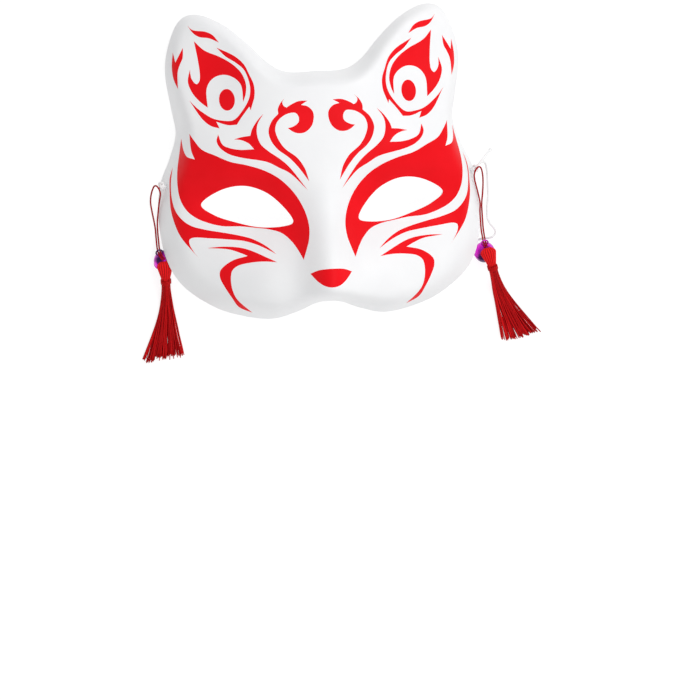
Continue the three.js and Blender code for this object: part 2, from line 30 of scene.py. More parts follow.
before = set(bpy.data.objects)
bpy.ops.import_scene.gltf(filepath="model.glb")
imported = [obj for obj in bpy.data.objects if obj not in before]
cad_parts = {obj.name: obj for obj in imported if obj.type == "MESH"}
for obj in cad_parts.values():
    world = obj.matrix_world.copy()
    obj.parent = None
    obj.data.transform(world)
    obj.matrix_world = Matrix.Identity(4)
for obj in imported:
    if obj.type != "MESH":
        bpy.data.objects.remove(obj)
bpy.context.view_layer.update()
draw = np.random.default_rng(SEED)

# The photograph's camera: a long lens above the mask as it lies, a little to the left and tilted
FRAME_PIXELS = 700
FOCAL_PIXELS = 1800
SENSOR_MM = 36
CAMERA_DISTANCE = 986.4
CAMERA_SHIFT = (-18.1, 102.6)
CAMERA_YAW = math.radians(4.5)
CAMERA_PITCH = math.radians(8.0)
CAMERA_ROLL = math.radians(3.0)
NEAREST_SEEN = 0.05
FARTHEST_SEEN = 20

turn = (Matrix.Rotation(CAMERA_ROLL, 3, "Z") @ Matrix.Rotation(CAMERA_PITCH, 3, "X")
        @ Matrix.Rotation(CAMERA_YAW, 3, "Y"))
back = turn.transposed()
camera_data = bpy.data.cameras.new("camera")
camera_data.sensor_width = SENSOR_MM
camera_data.lens = FOCAL_PIXELS / FRAME_PIXELS * SENSOR_MM
camera_data.clip_start = NEAREST_SEEN
camera_data.clip_end = FARTHEST_SEEN
camera = bpy.data.objects.new("camera", camera_data)
bpy.context.scene.collection.objects.link(camera)
place = back @ Vector((-CAMERA_SHIFT[0], -CAMERA_SHIFT[1], CAMERA_DISTANCE)) * MM
camera.matrix_world = Matrix.Translation(place) @ back.to_4x4()
bpy.context.scene.camera = camera

# Sizes shared with the solids
WALL = 1.2
DOME_HEIGHT = 52
SIDE_FALL = 24
SIDE_REACH = 75
CROWN_FALL = 14
NOSE_RISE = 15.5
MUZZLE_RISE = 6
CHEEK_RISE = 5
BROW_RISE = 3
SOCKET_DEPTH = 12
EAR_DISH_DEPTH = 4.5
CHIN_FALL = 4
WALL_ROUNDING = 2.6
CLEARANCE = 0.3
ELASTIC_DIAMETER = 1.2
CORD_DIAMETER = 0.9
TEMPLE_HOLE_DIAMETER = 3
TEMPLE_HOLE_Y = -8
TEMPLE_HOLE_INSET = 3.4
KNOT_RADIUS = 2.5
INNER_KNOT_RADIUS = 1.75
BELL_RADIUS = 5.8
BELL_WALL = 0.6
BELL_FLANGE = 0.35
BELL_FLANGE_THICKNESS = 0.7
BELL_SLOT = 1.1
BELL_SLOT_END_RADIUS = 1.1
BELL_SLOT_START = 1.8
BELL_TILT = math.radians(40)
LOOP_RADIUS = 1.8
LOOP_WIRE_RADIUS = 0.4
LOOP_SINK = 0.3
HEAD_WIDTH = 8.8
HEAD_THICKNESS = 6
NECK_WIDTH = 4.8
SKIRT_THICKNESS = 4
SKIRT_FLARE = 1.5
HEAD_SHOULDER = 0.3
HEAD_BLUNTNESS = 0.85
SWAY = 1.6
BINDING_LENGTH = 2.6
GROUND_GAP = 0.15

# Where the dome starts to fall away towards the ears and the mouth, and how its falls curve
SIDE_CURVE = 2.2
CROWN_START = 20
CROWN_LENGTH = 60
CROWN_CURVE = 1.6
CHIN_START = -40
CHIN_LENGTH = 40

# The forms on the dome: rise, place and spread across the face, place and spreads up and down it
FACE_FORMS = [
    (NOSE_RISE, 0, 9, -60, 27, 15), (MUZZLE_RISE, 0, 24, -64, 16, 16), (CHEEK_RISE, 31, 15, -64, 13, 13),
    (-SOCKET_DEPTH, 41, 19, -22, 12, 12), (BROW_RISE, 45, 22, 2, 9, 9),
    (-EAR_DISH_DEPTH, 53, 12, 50, 16, 16),
]

# The right half of the outline: x, y, height of the back rim, width of the rolled-down side
OUTLINE = [
    [0, 49.3, 26, 9], [15, 49.6, 26, 9], [25, 55, 24, 8], [35, 65.5, 20, 7], [47, 76, 17, 6],
    [60, 82, 15, 6], [69.5, 80, 14, 6], [76, 69, 11.5, 7], [79.5, 53, 7.5, 8], [77.5, 33, 1.5, 10],
    [76, 20, -1.5, 11], [80, 7, -2.5, 12], [86, -7, -2.5, 13], [88.3, -25, 0, 14], [85.4, -46, 13, 15],
    [77, -61.3, 20, 15], [61, -73.3, 23, 14], [45, -79, 26, 14], [30, -81, 28, 13],
    [17, -77.6, 31, 12], [7, -73.4, 34, 11], [0, -72.6, 34.5, 11],
]

# The right eye hole, from its inner corner over the top to the outer corner and back below
EYE_HOLE = [
    [17.2, -28], [22.5, -19.6], [31, -12.2], [42, -8.5], [54, -10.4],
    [64.6, -17.4], [58, -23.6], [47, -27.8], [35, -30.7], [23, -30.6],
]

# The red print on the right half. Each form is a row of smooth lines that meet at its corners.
PRINT = {
    "ear_tip_stroke": [
        [(66, 76.5), (63.5, 74), (56.5, 72.5), (53, 70.5), (50, 66.5)],
        [(50, 66.5), (55, 69), (60, 70), (63, 72), (66, 76.5)],
    ],
    "ear_fork": [
        [(74.5, 63), (73.5, 57.5)],
        [(73.5, 57.5), (69, 65)],
        [(69, 65), (69.5, 59.5), (71, 56.5), (72.5, 52.5), (73, 43.5)],
        [(73, 43.5), (75, 49), (75.5, 55.5), (74.5, 63)],
    ],
    "ear_flame": [
        [(63, 68), (58, 63), (50, 59), (44, 55), (39.5, 50), (37.5, 44), (38, 39), (39.5, 35)],
        [(39.5, 35), (40, 43.5), (42.5, 47), (47.5, 49.5), (52.5, 49), (56, 46.5), (58, 42.5), (58, 33)],
        [(58, 33), (62, 36.5), (65.5, 41), (67.5, 47), (66, 53.5)],
        [(66, 53.5), (65.5, 48.5), (63, 45.5), (61.5, 47), (61, 50), (61.5, 57.5), (63, 68)],
    ],
    "ear_arc": [
        [(51.5, 64), (42.5, 59), (38, 54.5), (35.5, 49), (33.5, 43.5), (33.5, 38), (36, 30.5)],
        [(36, 30.5), (36.5, 32.5)],
        [(36.5, 32.5), (41, 27), (43.5, 23.5)],
        [(43.5, 23.5), (48, 23.5), (54, 25.5)],
        [(54, 25.5), (52.5, 22)],
        [(52.5, 22), (57, 23.5), (61, 27), (67.5, 37.5)],
        [(67.5, 37.5), (64.5, 34), (60.5, 30.5), (56, 27.5), (51, 26), (45, 26), (39.5, 31.5), (36.5, 36.5),
         (35.5, 41), (36, 46), (38, 51.5), (42, 55.5), (47, 59), (51.5, 64)],
    ],
    "forehead_curl": [
        [(18, 36), (20.5, 33.5), (22, 30.5), (22, 28)],
        [(22, 28), (25.5, 24.5), (27.5, 19.5), (26.5, 14.5), (23.5, 10), (18, 5.5), (13.5, 0.5), (8, -7.5)],
        [(8, -7.5), (10, -0.5), (13.5, 5), (19.5, 10), (22.5, 14.5), (24, 19.5), (23, 23.5), (20, 26.5),
         (16.5, 28), (13, 28), (11.5, 25.5), (12, 23), (15, 21), (17.5, 20.5)],
        [(17.5, 20.5), (15, 18.5), (12, 17.5), (8.5, 18), (5.5, 20.5), (4, 24), (4, 28), (6.5, 31), (10, 32)],
        [(10, 32), (6.5, 34)],
        [(6.5, 34), (11, 34), (15, 32.5), (17.5, 31)],
        [(17.5, 31), (19, 32), (19.5, 34), (18, 36)],
    ],
    "brow_branch": [
        [(29.5, 28.5), (33, 25), (36, 20.5), (37, 17.5)],
        [(37, 17.5), (41.5, 17), (45.5, 16)],
        [(45.5, 16), (42, 15.5), (38, 13.5), (35.5, 10.5)],
        [(35.5, 10.5), (42.5, 10.5), (47.5, 11.5), (51.5, 13.5), (53.5, 19)],
        [(53.5, 19), (54.5, 15.5), (53, 12), (48.5, 8.5), (42.5, 6.5), (29, 3.5), (23.5, 0.5), (17.5, -3),
         (9, -12)],
        [(9, -12), (17.5, 0), (22, 4.5), (28, 9), (32, 13), (33.5, 18), (33, 23), (29.5, 28.5)],
    ],
    "eye_patch": [
        [(68.5, 20), (66, 16), (62.5, 11.5), (55.5, 8), (48, 4.5), (40, 2.5), (31.5, -0.5), (24.5, -4.5),
         (19, -9.5), (14.5, -15.5), (11, -23), (9.5, -30), (10, -37), (13.5, -47.5)],
        [(13.5, -47.5), (16, -42.5), (19, -38), (23.5, -34), (29.5, -32), (36.5, -31), (44.5, -30),
         (54, -29.5), (61.5, -27.5), (68, -24.5), (72.5, -20.5), (75.5, -14.5), (76.5, -7), (76, 1.5),
         (74.5, 9.5), (73, 17.5)],
        [(73, 17.5), (72, 11), (70.5, 8), (66.5, 6.5)],
        [(66.5, 6.5), (68, 11), (68.5, 20)],
    ],
    "cheek_stroke": [
        [(78.5, 2.5), (80.5, -3.5), (81, -11.5), (81, -19.5), (79.5, -27), (76.5, -34.5), (67, -46.5)],
        [(67, -46.5), (70, -42.5), (72, -38.5), (72, -36), (70, -35), (61, -35.5), (50.5, -36.5),
         (43, -37.5), (35.5, -40), (27, -44.5)],
        [(27, -44.5), (32.5, -40), (39, -36.5), (46, -34.5), (55.5, -32.5), (63, -31), (71, -28.5),
         (75.5, -25), (78.5, -20.5), (80, -14), (80, -6), (78.5, 2.5)],
    ],
    "muzzle_hook": [
        [(63, -40.5), (55.5, -40), (47, -40.5), (41, -42), (27, -48.5)],
        [(27, -48.5), (34, -48), (41, -48.5), (47.5, -50), (50.5, -52.5), (51.5, -57), (51, -62.5),
         (49, -67.5), (41, -76)],
        [(41, -76), (48, -72.5), (51.5, -67), (55, -61), (57, -56.5), (57, -53), (54.5, -50), (49.5, -47),
         (42, -45)],
        [(42, -45), (45.5, -43.5), (51.5, -41.5), (63, -40.5)],
    ],
}
EAR_DOT = (47.8, 36.6, 4.1, 5.6)
NOSE_PRINT = [
    [(-10.8, -54.5), (-6.5, -52.6), (0, -51.9), (6.5, -52.6), (10.8, -54.5)],
    [(10.8, -54.5), (7.5, -58.2), (4, -60.6), (0, -61.4), (-4, -60.6), (-7.5, -58.2), (-10.8, -54.5)],
]

# Each temple's hanging. Its bell is so far outside the outline, at a height on the face. Its head starts
# beside the bell's middle, points along the heading, lies level and then falls to the ground.
HANGINGS = {
    "left": {
        "sign": -1, "bell": (1.9, -48.3), "loop_heading": 115, "head": (-0.1, 0.2), "heading": -87,
        "head_length": 9.6, "head_height": 12, "level": 2, "fall": 24,
        "skirt_length": 42.5, "skirt_width": 24.5, "sideways": -6.5, "parting": -0.7,
        "cord": [
            (0, 0.65, 0.95, 12.75), (0, 1.65, 2.4, 12.35), (0, 2.45, 3.7, 11.6), (0, 2.82, 4.76, 10.55),
            (0, 3.2, 6, 9), (0, 3.5, 8, 6.5), (0, 3.65, 10.6, 3.7), (0.5, 2.66, -6.75, 1.6),
            (0.5, 2.31, -3.35, 0.75), (0.5, 2.47, 0.65, 0.6), (0.5, 3.26, 6.65, 0.9),
            (1, 9.08, -8.5, -8.87), (1, 8.38, -4, -5.37), (1, 7.08, -0.6, -1.97), (1, 6.08, 0.8, 0.43),
            (1, 4.88, 0.7, 2.13), (1, 3.78, -0.9, 2.83), (1, 3.28, -3.3, 1.33), (1, 3.68, -5.8, -1.57),
            (1, 4.38, -8.8, -4.67), (0.5, -0.17, 6.35, 4.4), (0.5, 0.67, 1.15, 2.3),
            (0.5, 1.16, -3.35, 0.9), (0.5, 1.51, -6.75, 1.6), (0, 2.45, 10.8, 3.7), (0, 2.35, 8.4, 6.5),
            (0, 2.1, 6.5, 9), (0, 1.78, 5.24, 10.55), (0, 1.4, 4.15, 11.6), (0, 0.6, 2.8, 12.35),
            (0, -0.4, 1.35, 12.75),
        ],
    },
    "right": {
        "sign": 1, "bell": (7.4, -53.9), "loop_heading": 94, "head": (0.2, 3), "heading": -79,
        "head_length": 9.6, "head_height": 14.2, "level": 6, "fall": 24,
        "skirt_length": 40.5, "skirt_width": 23, "sideways": 8.5, "parting": 0.5,
        "cord": [
            (0, 0.5, 3.5, 12.9), (0, 0.3, 4.5, 11.85), (0, 0.19, 5.5, 10.55), (0, 0.15, 6.6, 9.2),
            (0, 0.2, 8.7, 6.7), (0, 0.3, 11.3, 4), (0, 0.4, 14.1, 1.8), (0, 0.5, 17.1, 0.8),
            (0.5, 2.13, -1.55, 0.6), (0.5, 1.77, 3.45, 0.6), (0.5, 2.46, 9.45, 0.9),
            (1, 7.98, -8.5, -8.87), (1, 7.48, -4, -5.37), (1, 6.38, -0.2, -1.57), (1, 5.18, 1.3, 1.03),
            (1, 3.68, 1.3, 2.93), (1, 2.18, -0.3, 3.63), (1, 1.58, -2.9, 2.53), (1, 2.08, -5.6, 0.03),
            (1, 3.28, -9, -3.27), (0.5, -0.67, 9.15, 5.2), (0.5, 0.57, 3.95, 2.3),
            (0.5, 0.81, -0.55, 0.95), (0, -0.7, 17.1, 0.8), (0, -0.8, 14.1, 1.8), (0, -0.9, 11.3, 4),
            (0, -0.95, 8.7, 6.7), (0, -1, 6.6, 9.2), (0, -0.96, 5.44, 10.55), (0, -0.85, 4.45, 11.85),
            (0, -0.65, 3.45, 12.9),
        ],
    },
}

# The head elastic: depths behind the left temple hole, then inside the mask, then beside it up to the knot
ELASTIC_START = (0.1, 2.2, 4)
ELASTIC_INSIDE = [
    (-78.2, -9.5, 8.4), (-78.3, -12, 5), (-79, -16, 2), (-79.5, -21, 0.8), (-78.5, -28, 0.7),
    (-74, -40, 0.7), (-62, -50, 0.7), (-44, -57, 0.7), (-25, -54, 0.7), (-8, -46, 0.7), (8, -48, 0.7),
    (25, -56, 0.7), (45, -60, 0.7), (62, -55, 0.7), (76, -49.5, 0.7),
]
ELASTIC_OUTSIDE = [
    (0, -3.5, 6.5, 0.7), (0, 1, 7.3, 0.7), (0, 4.1, 7.4, 0.7), (0, 6.6, 8.4, 0.7), (0, 7.5, 10.6, 0.7),
    (0, 6.5, 12.9, 0.7), (0, 4.7, 15.1, 0.7), (0.5, 5.5, -4.55, 0.7), (0.5, 4.97, 1.45, 0.7),
    (0.5, 5.4, 7.45, 0.7), (1, 10.98, -9.5, -10.87), (1, 10.68, -3.5, -9.37), (1, 9.78, 1, -6.17),
    (1, 8.38, 3.7, -2.77), (1, 6.38, 3.9, -0.57), (1, 4.73, 2.9, 0.43),
]
TAIL_ROUTE = [
    (1, 3.08, 1, 1.83), (1, 4.48, 3.1, 2.63), (1, 6.88, 5.5, 1.03), (1, 10.18, 8.4, -3.57),
    (1, 13.58, 10.3, -10.47),
]


# The mask's surface, by the same functions as the solids. The outline is drawn with so many steps between
# its points, and distances to it are found on so many places of it, for so many points at a time.
OUTLINE_STEPS = 24
EDGE_PLACES = 960
POINTS_AT_A_TIME = 2000
SLOPE_REACH = 0.05
HOLE_SLOPE_REACH = 0.25


def smooth_loop(rows, steps):
    rows = np.array(rows, float)
    t = (np.arange(steps) / steps)[None, :, None]
    a, b, c, d = (np.roll(rows, shift, axis=0)[:, None, :] for shift in (1, 0, -1, -2))
    spans = 0.5 * (2 * b + (c - a) * t + (2 * a - 5 * b + 4 * c - d) * t ** 2
                   + (3 * b - a - 3 * c + d) * t ** 3)
    return spans.reshape(-1, rows.shape[1])


def outline_ring(count):
    left = [[-x, y, rim, side] for x, y, rim, side in OUTLINE[1:-1]][::-1]
    fine = smooth_loop(OUTLINE + left, OUTLINE_STEPS)
    closed = np.vstack([fine, fine[:1]])
    lengths = np.r_[0, np.cumsum(np.hypot(*np.diff(closed[:, :2], axis=0).T))]
    targets = lengths[-1] * np.arange(count) / count
    ring = np.stack([np.interp(targets, lengths, closed[:, k]) for k in range(4)], axis=1)
    ring[:, 2] = np.maximum(ring[:, 2], 0)
    return ring


EDGE = outline_ring(EDGE_PLACES)


def nearest_edge(points):
    """Distance to the outline, and the rim height and side width at the nearest place on it."""
    found = []
    following = np.roll(EDGE, -1, axis=0)
    for part in np.array_split(points, max(1, len(points) // POINTS_AT_A_TIME)):
        gaps = (part[:, None, 0] - EDGE[None, :, 0]) ** 2 + (part[:, None, 1] - EDGE[None, :, 1]) ** 2
        nearest = gaps.argmin(axis=1)
        best = np.full(len(part), np.inf)
        rows = np.zeros((len(part), 2))
        for i in (nearest, nearest - 1):
            start, end = EDGE[i], following[i]
            along = end[:, :2] - start[:, :2]
            share = ((part - start[:, :2]) * along).sum(1) / (along ** 2).sum(1)
            share = np.clip(share, 0, 1)[:, None]
            spot = start + (end - start) * share
            far = np.hypot(*(part - spot[:, :2]).T)
            closer = far < best
            best = np.where(closer, far, best)
            rows[closer] = spot[closer, 2:]
        found.append(np.column_stack([best, rows]))
    return np.vstack(found)


def hump(offset, spread):
    return np.exp(-0.5 * (offset / spread) ** 2)


def hump_pair(x, centre, spread):
    return hump(x - centre, spread) + hump(x + centre, spread)


def face_height(x, y):
    crown = np.clip((y - CROWN_START) / CROWN_LENGTH, 0, 2) ** CROWN_CURVE
    chin = np.clip((CHIN_START - y) / CHIN_LENGTH, 0, 2) ** 2
    height = DOME_HEIGHT - SIDE_FALL * (np.abs(x) / SIDE_REACH) ** SIDE_CURVE - CROWN_FALL * crown
    height = height - CHIN_FALL * chin
    for rise, middle_x, wide, middle_y, above, below in FACE_FORMS:
        across = hump_pair(x, middle_x, wide) if middle_x else hump(x, wide)
        up = y - middle_y
        height = height + rise * across * np.where(up > 0, hump(up, above), hump(up, below))
    return height


def outer_height(points):
    points = np.atleast_2d(np.asarray(points, float))
    distance, rim, side = nearest_edge(points).T
    rise = 1 - (1 - np.clip(distance / side, 0, 1)) ** WALL_ROUNDING
    return rim + (face_height(points[:, 0], points[:, 1]) - rim) * rise


def outer_normal(points, reach=SLOPE_REACH):
    points = np.atleast_2d(np.asarray(points, float))
    slopes = []
    for step in ((reach, 0), (0, reach)):
        ahead, behind = outer_height(points + step), outer_height(points - np.array(step))
        slopes.append((ahead - behind) / (2 * reach))
    normal = np.column_stack([-slopes[0], -slopes[1], np.ones(len(points))])
    return normal / np.linalg.norm(normal, axis=1)[:, None]


def edge_reach(y):
    """How far out the outline reaches beside the face at a height across it"""
    half = EDGE[EDGE[:, 0] > 0]
    return half[np.abs(half[:, 1] - y).argmin(), 0]


def temple_hole(sign):
    x = edge_reach(TEMPLE_HOLE_Y) - TEMPLE_HOLE_INSET
    height = outer_height([(x, TEMPLE_HOLE_Y)])[0]
    normal = outer_normal([(x, TEMPLE_HOLE_Y)], HOLE_SLOPE_REACH)[0]
    return np.array([sign * x, TEMPLE_HOLE_Y, height]), normal * (sign, 1, 1)


def bell_place(hanging):
    """The middle of a hanging's bell, beside the outline at its own height"""
    out, y = hanging["bell"]
    return np.array([hanging["sign"] * (edge_reach(y) + out), y, BELL_RADIUS + GROUND_GAP])


def beside(hanging, spot):
    """A place of a route beside the mask

    Its share is how far up it is from the bell to the temple hole. The rest says how far outward, upward and
    high it is from there: from the bell at 0, from the hole at 1 and from the mask's outline in between.
    """
    share, outward, upward, height = spot
    sign = hanging["sign"]
    point, _ = temple_hole(sign)
    bell = bell_place(hanging)
    y = bell[1] + (point[1] - bell[1]) * share + upward
    if share == 1:
        return point[0] + sign * outward, y, point[2] + height
    start = bell[0] if share == 0 else sign * edge_reach(y)
    return start + sign * outward, y, height


# Materials. Noise scales are in waves to the metre, bump distances in metres.
NOISE_LOW = 0.3
NOISE_HIGH = 0.7
PLASTIC_CLOUDS = 45
PLASTIC_SHEEN_CLOUDS = 160
PLASTIC_SKIN = 900
PLASTIC_SKIN_STRENGTH = 0.12
FIBRES = 2600
FIBRE_SHARE = 0.35
FIBRE_STRENGTH = 0.3
# The scale of the bell's painted reflection patches, in waves to the metre
LACQUER_REFLECTION_PATCHES = 130
LACQUER_SHEEN_CLOUDS = 900
LACQUER_SKIN = 700
LACQUER_SKIN_STRENGTH = 0.1
SKIN_DEPTH = 0.0002


def new_material(name):
    made = bpy.data.materials.new(name)
    made.use_nodes = True
    nodes, links = made.node_tree.nodes, made.node_tree.links
    return made, nodes, links, nodes["Principled BSDF"]


def noise_node(nodes, links, scale, detail=3):
    coordinates = nodes.new("ShaderNodeTexCoord")
    noise = nodes.new("ShaderNodeTexNoise")
    noise.inputs["Scale"].default_value = scale
    noise.inputs["Detail"].default_value = detail
    links.new(coordinates.outputs["Object"], noise.inputs["Vector"])
    return noise.outputs["Fac"]


def ramp_node(nodes, links, fac, stops):
    ramp = nodes.new("ShaderNodeValToRGB")
    while len(ramp.color_ramp.elements) < len(stops):
        ramp.color_ramp.elements.new(0.5)
    for element, (place_on_ramp, color) in zip(ramp.color_ramp.elements, stops):
        element.position = place_on_ramp
        element.color = (*color, 1)
    links.new(fac, ramp.inputs["Fac"])
    return ramp.outputs["Color"]


def range_node(nodes, links, value, low, high):
    """The usual spread of a noise, stretched to run from low to high"""
    spread = nodes.new("ShaderNodeMapRange")
    spread.inputs["From Min"].default_value = NOISE_LOW
    spread.inputs["From Max"].default_value = NOISE_HIGH
    spread.inputs["To Min"].default_value = low
    spread.inputs["To Max"].default_value = high
    links.new(value, spread.inputs["Value"])
    return spread.outputs["Result"]


def bump_node(nodes, links, shader, height, strength, distance):
    bump = nodes.new("ShaderNodeBump")
    bump.inputs["Strength"].default_value = strength
    bump.inputs["Distance"].default_value = distance
    links.new(height, bump.inputs["Height"])
    links.new(bump.outputs["Normal"], shader.inputs["Normal"])


def plastic(name, pale, full, roughness, gloss=0.35):
    """Satin formed plastic: faint cloudiness, a fine uneven skin and a soft coat"""
    made, nodes, links, shader = new_material(name)
    cloud = noise_node(nodes, links, PLASTIC_CLOUDS, 4)
    links.new(ramp_node(nodes, links, cloud, [(NOISE_LOW, pale), (NOISE_HIGH, full)]),
              shader.inputs["Base Color"])
    sheen = noise_node(nodes, links, PLASTIC_SHEEN_CLOUDS)
    links.new(range_node(nodes, links, sheen, roughness - 0.04, roughness + 0.06),
              shader.inputs["Roughness"])
    skin = noise_node(nodes, links, PLASTIC_SKIN, 2)
    bump_node(nodes, links, shader, skin, PLASTIC_SKIN_STRENGTH, SKIN_DEPTH)
    shader.inputs["IOR"].default_value = 1.46
    shader.inputs["Specular IOR Level"].default_value = gloss
    return made


def thread(name, dark, bright, roughness, gloss):
    """Spun thread: tone from the per-vertex tone kept in each mesh, random per thread and painted shade in
    the grooves of the tassel head, broken by fine fibre noise
    """
    made, nodes, links, shader = new_material(name)
    tone_and_shade = nodes.new("ShaderNodeAttribute")
    tone_and_shade.attribute_name = "tone_and_shade"
    fibre = noise_node(nodes, links, FIBRES, 2)
    mixed = nodes.new("ShaderNodeMath")
    mixed.operation = "MULTIPLY_ADD"
    links.new(fibre, mixed.inputs[0])
    mixed.inputs[1].default_value = FIBRE_SHARE
    links.new(tone_and_shade.outputs["Fac"], mixed.inputs[2])
    links.new(ramp_node(nodes, links, mixed.outputs[0], [(0.15, dark), (0.95, bright)]),
              shader.inputs["Base Color"])
    shader.inputs["Roughness"].default_value = roughness
    shader.inputs["Specular IOR Level"].default_value = gloss
    bump_node(nodes, links, shader, fibre, FIBRE_STRENGTH, SKIN_DEPTH)
    return made


def lacquered_metal(name, dark, bright):
    """Metal under a coloured lacquer, its colour in darker and brighter patches: painted reflection of its
    small dents
    """
    made, nodes, links, shader = new_material(name)
    # Darker and brighter patches in the base colour stand for the dents' reflections: painted reflection
    cloud = noise_node(nodes, links, LACQUER_REFLECTION_PATCHES, 2)
    links.new(ramp_node(nodes, links, cloud, [(0.34, dark), (0.5, bright)]), shader.inputs["Base Color"])
    sheen = noise_node(nodes, links, LACQUER_SHEEN_CLOUDS)
    links.new(range_node(nodes, links, sheen, 0.16, 0.3), shader.inputs["Roughness"])
    skin = noise_node(nodes, links, LACQUER_SKIN)
    bump_node(nodes, links, shader, skin, LACQUER_SKIN_STRENGTH, SKIN_DEPTH)
    shader.inputs["Metallic"].default_value = 0.85
    shader.inputs["Coat Weight"].default_value = 0.3
    shader.inputs["Coat Roughness"].default_value = 0.08
    return made


WHITE_PLASTIC = plastic("white_plastic", (0.86, 0.862, 0.875), (0.895, 0.897, 0.905), 0.42, 0.25)
INNER_PLASTIC = plastic("inner_plastic", (0.80, 0.80, 0.82), (0.86, 0.86, 0.87), 0.5)
RED_PRINT = plastic("red_print", (0.80, 0.004, 0.009), (0.88, 0.006, 0.013), 0.5, 0.1)
WHITE_ELASTIC = thread("white_elastic", (0.72, 0.72, 0.73), (0.93, 0.93, 0.93), 0.75, 0.2)
RED_CORD = thread("red_cord", (0.15, 0.0008, 0.004), (0.46, 0.003, 0.008), 0.6, 0.06)
RED_THREAD = thread("red_thread", (0.26, 0.0005, 0.002), (0.82, 0.010, 0.012), 0.5, 0.08)
BELL_METAL = lacquered_metal("bell_lacquer", (0.06, 0.002, 0.09), (0.66, 0.005, 0.56))


# Meshes
def evenly_round(count):
    """Angles of so many places round a circle"""
    return np.arange(count) * 2 * math.pi / count


def mesh_object(name, points, faces, materials, tone_and_shade=None, face_materials=None):
    mesh = bpy.data.meshes.new(name)
    mesh.from_pydata((np.asarray(points, float) * MM).tolist(), [], [list(map(int, f)) for f in faces])
    for made in materials:
        mesh.materials.append(made)
    mesh.polygons.foreach_set("use_smooth", [True] * len(mesh.polygons))
    if face_materials is not None:
        mesh.polygons.foreach_set("material_index", face_materials)
    if tone_and_shade is not None:
        mesh.attributes.new("tone_and_shade", "FLOAT", "POINT").data.foreach_set("value", tone_and_shade)
    mesh.update()
    made_object = bpy.data.objects.new(name, mesh)
    bpy.context.scene.collection.objects.link(made_object)
    return made_object


def cord_line(points, steps):
    """A smooth line through a cord's given points, as the solid's route runs"""
    p = np.array(points, float)
    p = np.vstack([2 * p[0] - p[1], p, 2 * p[-1] - p[-2]])
    line = [p[1]]
    for i in range(1, len(p) - 2):
        spans = [np.linalg.norm(p[i + k] - p[i + k - 1]) ** 0.5 for k in range(3)]
        a, b, c, d = p[i - 1:i + 3]
        before = ((b - a) / spans[0] - (c - a) / (spans[0] + spans[1]) + (c - b) / spans[1]) * spans[1]
        after = ((c - b) / spans[1] - (d - b) / (spans[1] + spans[2]) + (d - c) / spans[2]) * spans[1]
        for t in np.arange(1, steps + 1) / steps:
            line.append(b + before * t + (3 * (c - b) - 2 * before - after) * t ** 2
                        + (2 * (b - c) + before + after) * t ** 3)
    return np.array(line)


def tube(line, radius, sides, lobes=0, pitch=1.0, depth=0.0, first_vertex=0):
    """Points and faces of a tube along a line, with lobes that turn once in each pitch, as strands do"""
    line = np.asarray(line, float)
    count = len(line)
    tangents = np.gradient(line, axis=0)
    tangents /= np.linalg.norm(tangents, axis=1)[:, None]
    side = np.cross(tangents[0], (0, 0, 1) if abs(tangents[0][2]) < 0.9 else (1, 0, 0))
    side /= np.linalg.norm(side)
    run = np.r_[0, np.cumsum(np.linalg.norm(np.diff(line, axis=0), axis=1))]
    radii = np.broadcast_to(radius, count)
    angles = evenly_round(sides)
    points = []
    for k in range(count):
        side = side - tangents[k] * side.dot(tangents[k])
        side /= np.linalg.norm(side)
        other = np.cross(tangents[k], side)
        ripple = 1 - depth * (0.5 - 0.5 * np.cos(lobes * (angles - 2 * math.pi * run[k] / pitch)))
        reach = radii[k] * ripple
        points.append(line[k] + np.outer(np.cos(angles) * reach, side)
                      + np.outer(np.sin(angles) * reach, other))
    points = np.vstack(points)
    i = np.arange(sides)
    j = (i + 1) % sides
    faces = []
    for k in range(count - 1):
        a, b = first_vertex + k * sides, first_vertex + (k + 1) * sides
        faces.extend(np.column_stack([a + i, a + j, b + j, b + i]).tolist())
    faces.append((first_vertex + i[::-1]).tolist())
    faces.append((first_vertex + (count - 1) * sides + i).tolist())
    return points, faces


def tubes_object(name, tubes, materials):
    """Many tubes, each (line, radius, sides, tint), as one mesh"""
    points, faces, tones_and_shades, total = [], [], [], 0
    for line, radius, sides, tone_and_shade in tubes:
        made_points, made_faces = tube(line, radius, sides, first_vertex=total)
        points.append(made_points)
        faces.extend(made_faces)
        tones_and_shades.extend([tone_and_shade] * len(made_points))
        total += len(made_points)
    return mesh_object(name, np.vstack(points), faces, materials, tone_and_shade=tones_and_shades)


def join(name, parts):
    """One piece from several meshes"""
    bpy.ops.object.select_all(action="DESELECT")
    for item in parts:
        item.select_set(True)
    bpy.context.view_layer.objects.active = parts[0]
    bpy.ops.object.join()
    parts[0].name = name
    parts[0].data.name = name
    return parts[0]


# Cords: the red ones are three strands, with so long a turn and so deep a groove between them
STRANDS = 3
STRAND_PITCH = 3.2
STRAND_DEPTH = 0.1
CORD_STEPS = 10
CORD_SIDES = 12


def cord_piece(name, route, diameter, material, lobes=0, pitch=1.0, depth=0.0):
    line = cord_line(route, CORD_STEPS)
    points, faces = tube(line, diameter / 2, CORD_SIDES, lobes, pitch, depth)
    tones_and_shades = 0.5 + 2 * depth * np.sin(np.arange(len(points)) * 0.7)
    made = mesh_object(name, points, faces, [material], tone_and_shade=tones_and_shades)
    run = float(np.linalg.norm(np.diff(line, axis=0), axis=1).sum())
    return made, line, run


cords = {}
for side, hanging in HANGINGS.items():
    route = [beside(hanging, spot) for spot in hanging["cord"]]
    cords[side] = cord_piece(f"red_cord_{side}", route, CORD_DIAMETER, RED_CORD,
                             STRANDS, STRAND_PITCH, STRAND_DEPTH)
left_hole, left_normal = temple_hole(-1)
elastic_route = [tuple(left_hole - left_normal * depth) for depth in ELASTIC_START]
elastic_route += ELASTIC_INSIDE + [beside(HANGINGS["right"], spot) for spot in ELASTIC_OUTSIDE]
elastic, elastic_line, elastic_run = cord_piece(
    "white_elastic_cord", elastic_route, ELASTIC_DIAMETER, WHITE_ELASTIC)


